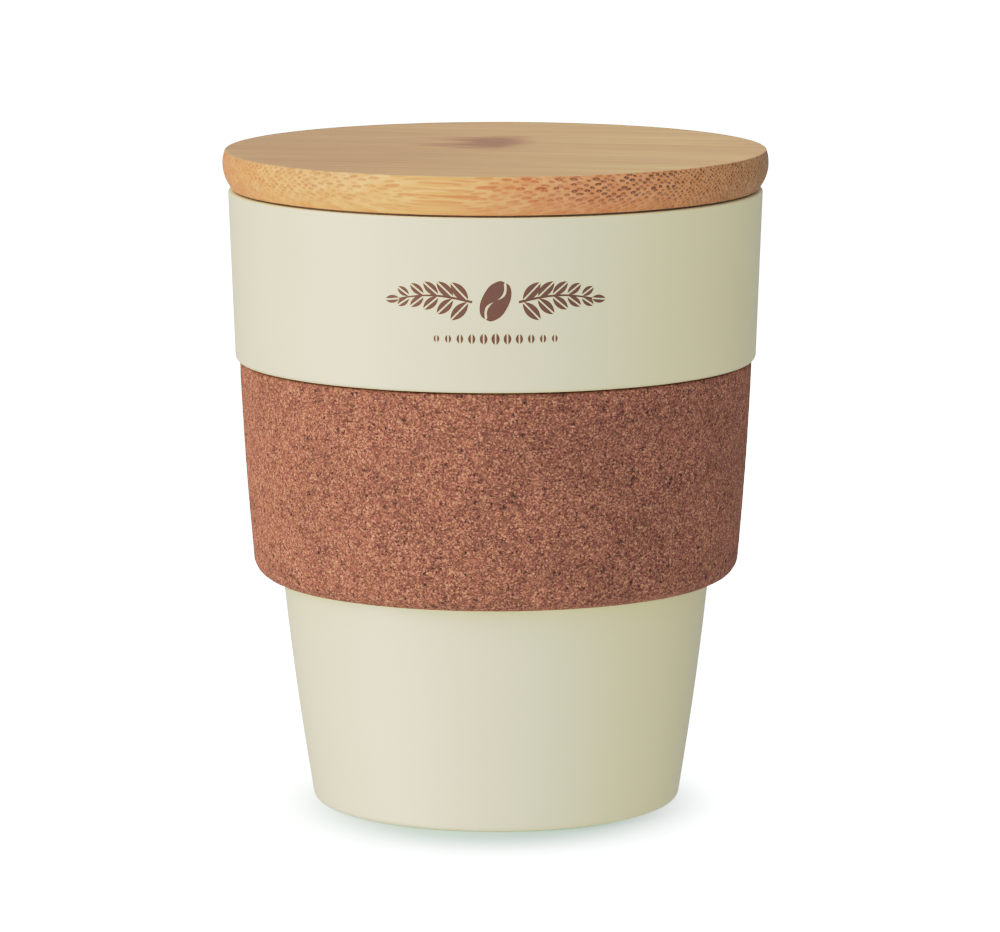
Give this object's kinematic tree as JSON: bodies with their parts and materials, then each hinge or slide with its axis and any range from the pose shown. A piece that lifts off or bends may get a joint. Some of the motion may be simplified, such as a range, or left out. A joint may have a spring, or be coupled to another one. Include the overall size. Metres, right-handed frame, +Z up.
{
  "type": "collapsible travel cup",
  "caption": "Round two-stage telescoping drinking cup with a wide mouth band, a cork grip sleeve, a tapered base and a flat bamboo plug lid.",
  "frame": {"origin": "centre of the resting face under the lower stage, with the cup extended and standing upright", "axes": "+Z up along the cup's axis of revolution; -Y is the side that faced the viewer"},
  "size_m": [0.0922, 0.0922, 0.1112],
  "materials": {
    "cream_plastic": "satin ivory polypropylene with a very fine moulded grain",
    "white_plastic": "natural white polypropylene",
    "cork": "fine-grained agglomerated cork, dry and matte",
    "bamboo": "sanded and lightly oiled laminated bamboo",
    "silicone": "dark grey-brown silicone, smooth and slightly dusty"
  },
  "bodies": {
    "base": {"lower_stage": "cream_plastic", "stage_seal": "silicone"},
    "upper": {"upper_stage": "cream_plastic", "cork_sleeve": "cork"},
    "lid": {"lid_disc": "bamboo", "lid_plug": "white_plastic", "lid_seal": "silicone"}
  },
  "joints": [
    {"name": "collapse", "type": "slide", "parent": "base", "child": "upper", "axis": [0, 0, -1], "range_m": [0, 0.0382]},
    {"name": "lid_lift", "type": "slide", "parent": "upper", "child": "lid", "axis": [0, 0, 1], "range_m": [0, 0.05]}
  ]
}
